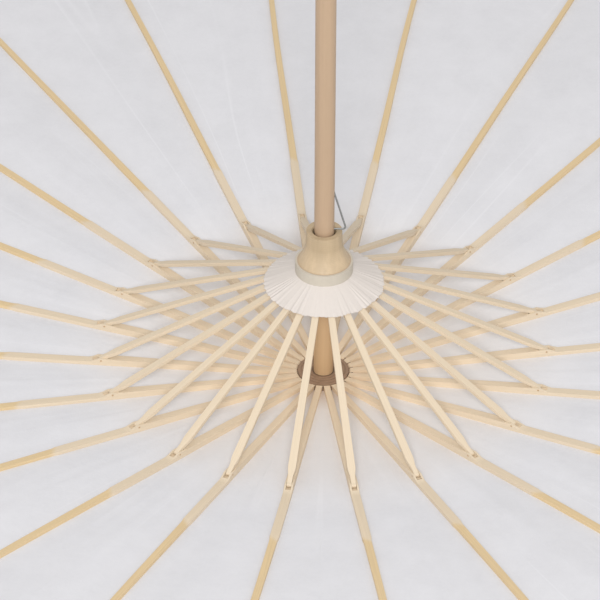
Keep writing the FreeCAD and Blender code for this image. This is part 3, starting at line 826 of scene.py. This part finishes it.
def make_canopy(settings, paper):
    tree = gore_tree()
    tuck = 0.005
    inner_r = HEAD_PIVOT_R - tuck
    slope = math.tan(RIB_SLOPE)
    rim_r = max(CANOPY_HIGH.x, -CANOPY_LOW.x)
    rim_z = CANOPY_LOW.z
    for number in range(1, RIB_COUNT + 1):
        direction = azimuth(number)
        before, after = half_gaps(number)
        name = "rib_%02d" % number
        gore = grown(tree, "gore_%02d" % number, {
            "Rows": 90, "Columns": 25, "Azimuth": direction, "Half Before": before, "Half After": after,
            "Inner Radius": inner_r, "Inner Height": rim_z + (rim_r - inner_r) * slope,
            "Rim Radius": rim_r, "Rim Height": rim_z, "Sag": settings.sag,
            "Wrinkle": settings.wrinkle, "Paper": paper})
        thicken(gore, settings.thickness)
        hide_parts("canopy")
        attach(gore, name)
        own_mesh(gore)


LIP_WIDTH = 0.00113      # of the band's edge, turned in from the ring's face


def collar_tree():
    """One wedge of the collar, from the band round the runner out to the ragged edge."""
    tree, wire, given = geometry_tree("Collar wedge", [
        ("Rows", "NodeSocketInt", 24), ("Columns", "NodeSocketInt", 21),
        ("Azimuth", "NodeSocketFloat", 0.0), ("Half Before", "NodeSocketFloat", EVEN_GAP / 2),
        ("Half After", "NodeSocketFloat", EVEN_GAP / 2),
        ("Inner Radius", "NodeSocketFloat", 0.018), ("Inner Height", "NodeSocketFloat", 0.42),
        ("Rim Radius", "NodeSocketFloat", 0.036), ("Rim Height", "NodeSocketFloat", 0.43),
        ("Pleat", "NodeSocketFloat", 0.0009), ("Paper", "NodeSocketMaterial", None)])
    grid = wire.add("GeometryNodeMeshGrid", {
        "Size X": 1.0, "Size Y": 2.0, "Vertices X": given["Rows"], "Vertices Y": given["Columns"]})
    gx, gy = wire.separate(wire.add("GeometryNodeInputPosition").outputs[0])[:2]
    out = wire.math("ADD", gx, 0.5)
    turn = gap_side(wire, given, gy)[1]
    cosine = wire.math("COSINE", turn)
    sine = wire.math("SINE", turn)
    fan = wire.combine(wire.math("MULTIPLY", cosine, 9.0), wire.math("MULTIPLY", sine, 9.0), 0.0)
    swell = wire.math("ABSOLUTE", wire.math("SUBTRACT", wire.noise(fan, 0.85, 0.0), 0.5))
    fold = wire.math("SUBTRACT", 1.0, wire.ramp(swell, 0.0, 0.12))
    fold = wire.math("MULTIPLY", fold, wire.ramp(wire.noise(fan, 0.31, 0.0), 0.4, 0.62, 0.15, 1.0))
    fine = wire.math("SUBTRACT", wire.noise(fan, 2.6, 1.0), 0.5)
    pleat = wire.math("MULTIPLY_ADD", fine, 0.45, fold)
    growth = wire.ramp(out, 0.0, 1.0, 0.25, 1.0)
    pleat = wire.math("MULTIPLY", wire.math("MULTIPLY", pleat, given["Pleat"]), growth)
    edge = wire.math("MULTIPLY", wire.math("MULTIPLY", fine, 0.0034), wire.math("POWER", out, 4.0))
    span = wire.math("SUBTRACT", given["Rim Radius"], given["Inner Radius"])
    radius = wire.math("ADD", wire.math("MULTIPLY_ADD", out, span, given["Inner Radius"]), edge)
    fall = wire.math("SUBTRACT", given["Rim Height"], given["Inner Height"])
    level = wire.math("MULTIPLY_ADD", out, fall, given["Inner Height"])
    height = wire.math("SUBTRACT", level, wire.math("MAXIMUM", pleat, 0.0))
    place = wire.combine(
        wire.math("MULTIPLY", cosine, radius), wire.math("MULTIPLY", sine, radius), height)
    shaped = wire.add("GeometryNodeSetPosition", {"Geometry": grid.outputs[0], "Position": place})
    close_tree(wire, shaped.outputs[0], given["Paper"])
    return tree


def band_tree():
    """The collar's plain band round the runner's ring, its lower edge turned in under the ring."""
    tree, wire, given = geometry_tree("Collar band", [
        ("Radius", "NodeSocketFloat", 0.018), ("Lip Radius", "NodeSocketFloat", 0.016),
        ("Low", "NodeSocketFloat", 0.41), ("High", "NodeSocketFloat", 0.42),
        ("Ripple", "NodeSocketFloat", 0.0001), ("Paper", "NodeSocketMaterial", None)])
    tube = wire.add("GeometryNodeMeshCylinder", {
        "Vertices": 138, "Side Segments": 12, "Radius": 1.0, "Depth": 1.0}, fill_type="NONE")
    lip_share = 0.25
    px, py, pz = wire.separate(wire.add("GeometryNodeInputPosition").outputs[0])[:3]
    share = wire.math("ADD", pz, 0.5)
    rippled = wire.combine(px, py, wire.math("MULTIPLY", share, 0.3))
    wave = wire.math("SUBTRACT", wire.noise(rippled, 9.0, 2.0), 0.5)
    foot = wire.ramp(share, 0.0, lip_share, given["Lip Radius"], given["Radius"])
    radius = wire.math("MULTIPLY_ADD", wave, given["Ripple"], foot)
    height = wire.ramp(share, lip_share, 1.0, given["Low"], given["High"])
    place = wire.combine(wire.math("MULTIPLY", px, radius), wire.math("MULTIPLY", py, radius), height)
    shaped = wire.add("GeometryNodeSetPosition", {"Geometry": tube.outputs[0], "Position": place})
    close_tree(wire, shaped.outputs[0], given["Paper"])
    return tree


def make_collar(settings, paper, band_paper):
    tree = collar_tree()
    rise = (RIB_JOINT_Z - RUNNER_PIVOT_Z) / (RIB_JOINT_R - RUNNER_PIVOT_R)
    off_ring = 0.0005
    band_r = RUNNER_HIGH.y + off_ring
    edge_r = max(COLLAR_HIGH.x, -COLLAR_LOW.x)
    clear = 0.0019
    slope = math.atan(rise)

    def under(radius):
        return RUNNER_PIVOT_Z + (radius - RUNNER_PIVOT_R) * rise - clear / math.cos(slope)

    for number in range(1, RIB_COUNT + 1):
        direction = azimuth(number)
        before, after = half_gaps(number)
        name = "stretcher_%02d" % number
        wedge = grown(tree, "collar_wedge_%02d" % number, {
            "Rows": 24, "Columns": 21, "Azimuth": direction, "Half Before": before, "Half After": after,
            "Inner Radius": band_r, "Inner Height": under(band_r), "Rim Radius": edge_r,
            "Rim Height": under(edge_r), "Pleat": settings.pleat, "Paper": paper})
        thicken(wedge, -settings.thickness)
        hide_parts("collar")
        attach(wedge, name)
        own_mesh(wedge)
    low = COLLAR_LOW.z
    band = grown(band_tree(), "collar_band", {
        "Radius": band_r, "Lip Radius": RUNNER_HIGH.y - LIP_WIDTH, "Low": low, "High": under(band_r),
        "Ripple": 0.0001, "Paper": band_paper})
    thicken(band, settings.thickness)
    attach(band, "runner")


# ---- operators --------------------------------------------------------------

class PARASOL_OT_bamboo(bpy.types.Operator):
    """Grow the ribs and the stretchers from split bamboo"""
    bl_idname = "parasol.bamboo"
    bl_label = "Bamboo"

    def execute(self, context):
        settings = context.scene.parasol_bamboo
        wood = context.scene.parasol_wood
        pin = turned_material("Bamboo pegs", wood.peg_colour, 0.07, 0.0, 0.5)
        make_ribs(settings, bamboo_material(settings, RIB_SHOULDER_AT), pin)
        make_stretchers(settings, bamboo_material(settings, None), pin)
        return {"FINISHED"}


class PARASOL_OT_canopy(bpy.types.Operator):
    """Stretch the canopy's paper over the ribs"""
    bl_idname = "parasol.canopy"
    bl_label = "Canopy"

    def execute(self, context):
        settings = context.scene.parasol_paper
        # painted warm bounce light on the canopy's paper towards the head
        painted_light = (HEAD_PIVOT_R + 0.02, HEAD_PIVOT_R + 0.15, settings.painted_light_colour, 0.75)
        # painted shade between the rib ends at the canopy's inner edge
        painted_shade = (HEAD_PIVOT_R, HEAD_PIVOT_R + 0.025, settings.painted_shade_colour, 0.5)
        paper = paper_material("Canopy paper", settings.canopy_colour, 1500.0, 0.035, (painted_light, painted_shade))
        make_canopy(settings, paper)
        return {"FINISHED"}


class PARASOL_OT_collar(bpy.types.Operator):
    """Pleat the paper collar round the runner"""
    bl_idname = "parasol.collar"
    bl_label = "Collar"

    def execute(self, context):
        settings = context.scene.parasol_paper
        # painted shade on the band's turned-in lip, under the runner's flange
        painted_shade = (RUNNER_HIGH.y - LIP_WIDTH, RUNNER_HIGH.y - 0.3 * LIP_WIDTH, settings.painted_shade_colour, 0.8)
        skirt = paper_material("Collar paper", settings.collar_colour, 2200.0, 0.015)
        band = paper_material("Band paper", settings.band_colour, 2200.0, 0.03, (painted_shade,))
        make_collar(settings, skirt, band)
        return {"FINISHED"}


class PARASOL_OT_wood(bpy.types.Operator):
    """Finish the pole, the head, the runner, the cap and the wires"""
    bl_idname = "parasol.wood"
    bl_label = "Turned wood and wire"

    def execute(self, context):
        settings = context.scene.parasol_wood
        # painted warm bounce light: the pole above the runner is lighter and more orange
        pole_bounce_light = [("z", RUNNER_HIGH.z - 0.01, RUNNER_HIGH.z + 0.004, (1.28, 1.22, 1.04))]
        paint("pole", turned_material("Pole wood", settings.pole_colour, 0.06, 0.0, 0.42, pole_bounce_light))
        rim = HEAD_HIGH.y
        # stained wood with painted shade: darker rings at the bore round the pole and at the head's rim
        stained_and_shaded = turned_material("Stained wood", settings.head_colour, 0.12, 0.3, 0.45, [
            ("r", POLE_HIGH.y + 0.0016, POLE_HIGH.y + 0.0004, (0.4, 0.4, 0.39)),
            ("r", rim - 0.0016, rim - 0.0004, (0.65, 0.65, 0.63))])
        paint("head", stained_and_shaded)
        paint("cap", stained_and_shaded)
        # the runner turns darker towards its lower end
        darker_low_end = [("z", RUNNER_LOW.z + 0.016, RUNNER_LOW.z + 0.009, (0.86, 0.86, 0.84))]
        paint("runner", turned_material("Runner wood", settings.runner_colour, 0.11, 0.08, 0.5, darker_low_end))
        paint("head_pin", turned_material("Pin wood", settings.runner_colour, 0.07, 0.0, 0.5))
        steel = wire_material("Drawn wire", settings.wire_colour)
        for node in ("catch", "head_wire", "runner_wire"):
            paint(node, steel)
        return {"FINISHED"}


class PARASOL_OT_stage(bpy.types.Operator):
    """Set the floor, the light and the camera"""
    bl_idname = "parasol.stage"
    bl_label = "Stage"

    def execute(self, context):
        settings = context.scene.parasol_stage
        make_floor(settings)
        make_light()
        make_camera(settings)
        return {"FINISHED"}


def make_floor(settings):
    half_side = 30.0
    mesh = bpy.data.meshes.new("floor")
    low = CAD_BOX[0][2] - settings.floor_drop
    corners = [(x * half_side, y * half_side, low) for x, y in ((-1, -1), (1, -1), (1, 1), (-1, 1))]
    mesh.from_pydata(corners, [], [(0, 1, 2, 3)])
    floor = bpy.data.objects.new("floor", mesh)
    bpy.context.scene.collection.objects.link(floor)
    material, _, shader = new_material("Pale floor", 0.9, 0.2)
    shader.inputs["Base Color"].default_value = (0.86, 0.86, 0.86, 1.0)
    mesh.materials.append(material)


def area_light(name, place, target, size, power):
    data = bpy.data.lights.new(name, "AREA")
    data.shape = "DISK"
    data.size = size
    data.energy = power
    lamp = bpy.data.objects.new(name, data)
    lamp.location = place
    lamp.rotation_euler = (Vector(target) - Vector(place)).to_track_quat("-Z", "Y").to_euler()
    bpy.context.scene.collection.objects.link(lamp)


def make_light():
    world = bpy.data.worlds.new("Pale room")
    bpy.context.scene.world = world
    world.use_nodes = True
    wire = Wiring(world.node_tree)
    world.node_tree.nodes.clear()
    path = wire.add("ShaderNodeLightPath")
    room = wire.add("ShaderNodeBackground", {"Color": (1.0, 0.985, 0.96, 1.0), "Strength": 0.69})
    seen = wire.add("ShaderNodeBackground", {"Color": (1.0, 1.0, 1.0, 1.0), "Strength": 1.0})
    direct = wire.math("MAXIMUM", path.outputs["Is Camera Ray"], path.outputs["Is Glossy Ray"])
    mixed = wire.add("ShaderNodeMixShader", {0: direct, 1: room.outputs[0], 2: seen.outputs[0]})
    wire.add("ShaderNodeOutputWorld", {0: mixed.outputs[0]})
    head = (0.0, 0.0, HEAD_PIVOT_Z)
    area_light("key by the camera", (0.0, -1.9, -0.95), head, 0.6, 34.0)
    area_light("high fill", (-0.8, -0.6, 2.4), head, 1.6, 20.0)


def make_camera(settings):
    data = bpy.data.cameras.new("camera")
    data.lens = settings.lens
    data.sensor_width = 36.0
    camera = bpy.data.objects.new("camera", data)
    bpy.context.scene.collection.objects.link(camera)
    back = settings.distance
    depth = back * math.sin(settings.below)
    place = Vector((settings.aside, -back * math.cos(settings.below), HEAD_LOW.z - depth))
    level = math.cos(settings.tilt)
    ahead = Vector((
        math.sin(settings.yaw) * level, math.cos(settings.yaw) * level, math.sin(settings.tilt)))
    right = ahead.cross(Vector((0.0, 0.0, -1.0))).normalized()
    top = right.cross(ahead)
    upright = Matrix((right, top, -ahead)).transposed().to_4x4()
    camera.matrix_world = Matrix.Translation(place) @ upright @ Matrix.Rotation(settings.roll, 4, "Z")
    bpy.context.scene.camera = camera


class PARASOL_PT_panel(bpy.types.Panel):
    """Lists the parasol's pieces"""
    bl_label = "Parasol"
    bl_idname = "PARASOL_PT_panel"
    bl_space_type = "VIEW_3D"
    bl_region_type = "UI"
    bl_category = "Parasol"

    def draw(self, context):
        for operator in OPERATORS:
            self.layout.operator(operator.bl_idname)


SETTINGS = {
    "parasol_bamboo": BambooSettings, "parasol_paper": PaperSettings,
    "parasol_wood": WoodSettings, "parasol_stage": StageSettings}
OPERATORS = (
    PARASOL_OT_wood, PARASOL_OT_bamboo, PARASOL_OT_canopy, PARASOL_OT_collar, PARASOL_OT_stage)


def register():
    for name, kind in SETTINGS.items():
        bpy.utils.register_class(kind)
        setattr(bpy.types.Scene, name, bpy.props.PointerProperty(type=kind))
    for operator in OPERATORS:
        bpy.utils.register_class(operator)
    bpy.utils.register_class(PARASOL_PT_panel)


def unregister():
    bpy.utils.unregister_class(PARASOL_PT_panel)
    for operator in reversed(OPERATORS):
        bpy.utils.unregister_class(operator)
    for name, kind in SETTINGS.items():
        delattr(bpy.types.Scene, name)
        bpy.utils.unregister_class(kind)


def main():
    register()
    bpy.context.scene.view_settings.view_transform = "Standard"
    bpy.ops.parasol.wood()
    bpy.ops.parasol.bamboo()
    bpy.ops.parasol.canopy()
    bpy.ops.parasol.collar()
    bpy.ops.parasol.stage()


if __name__ == "__main__":
    main()
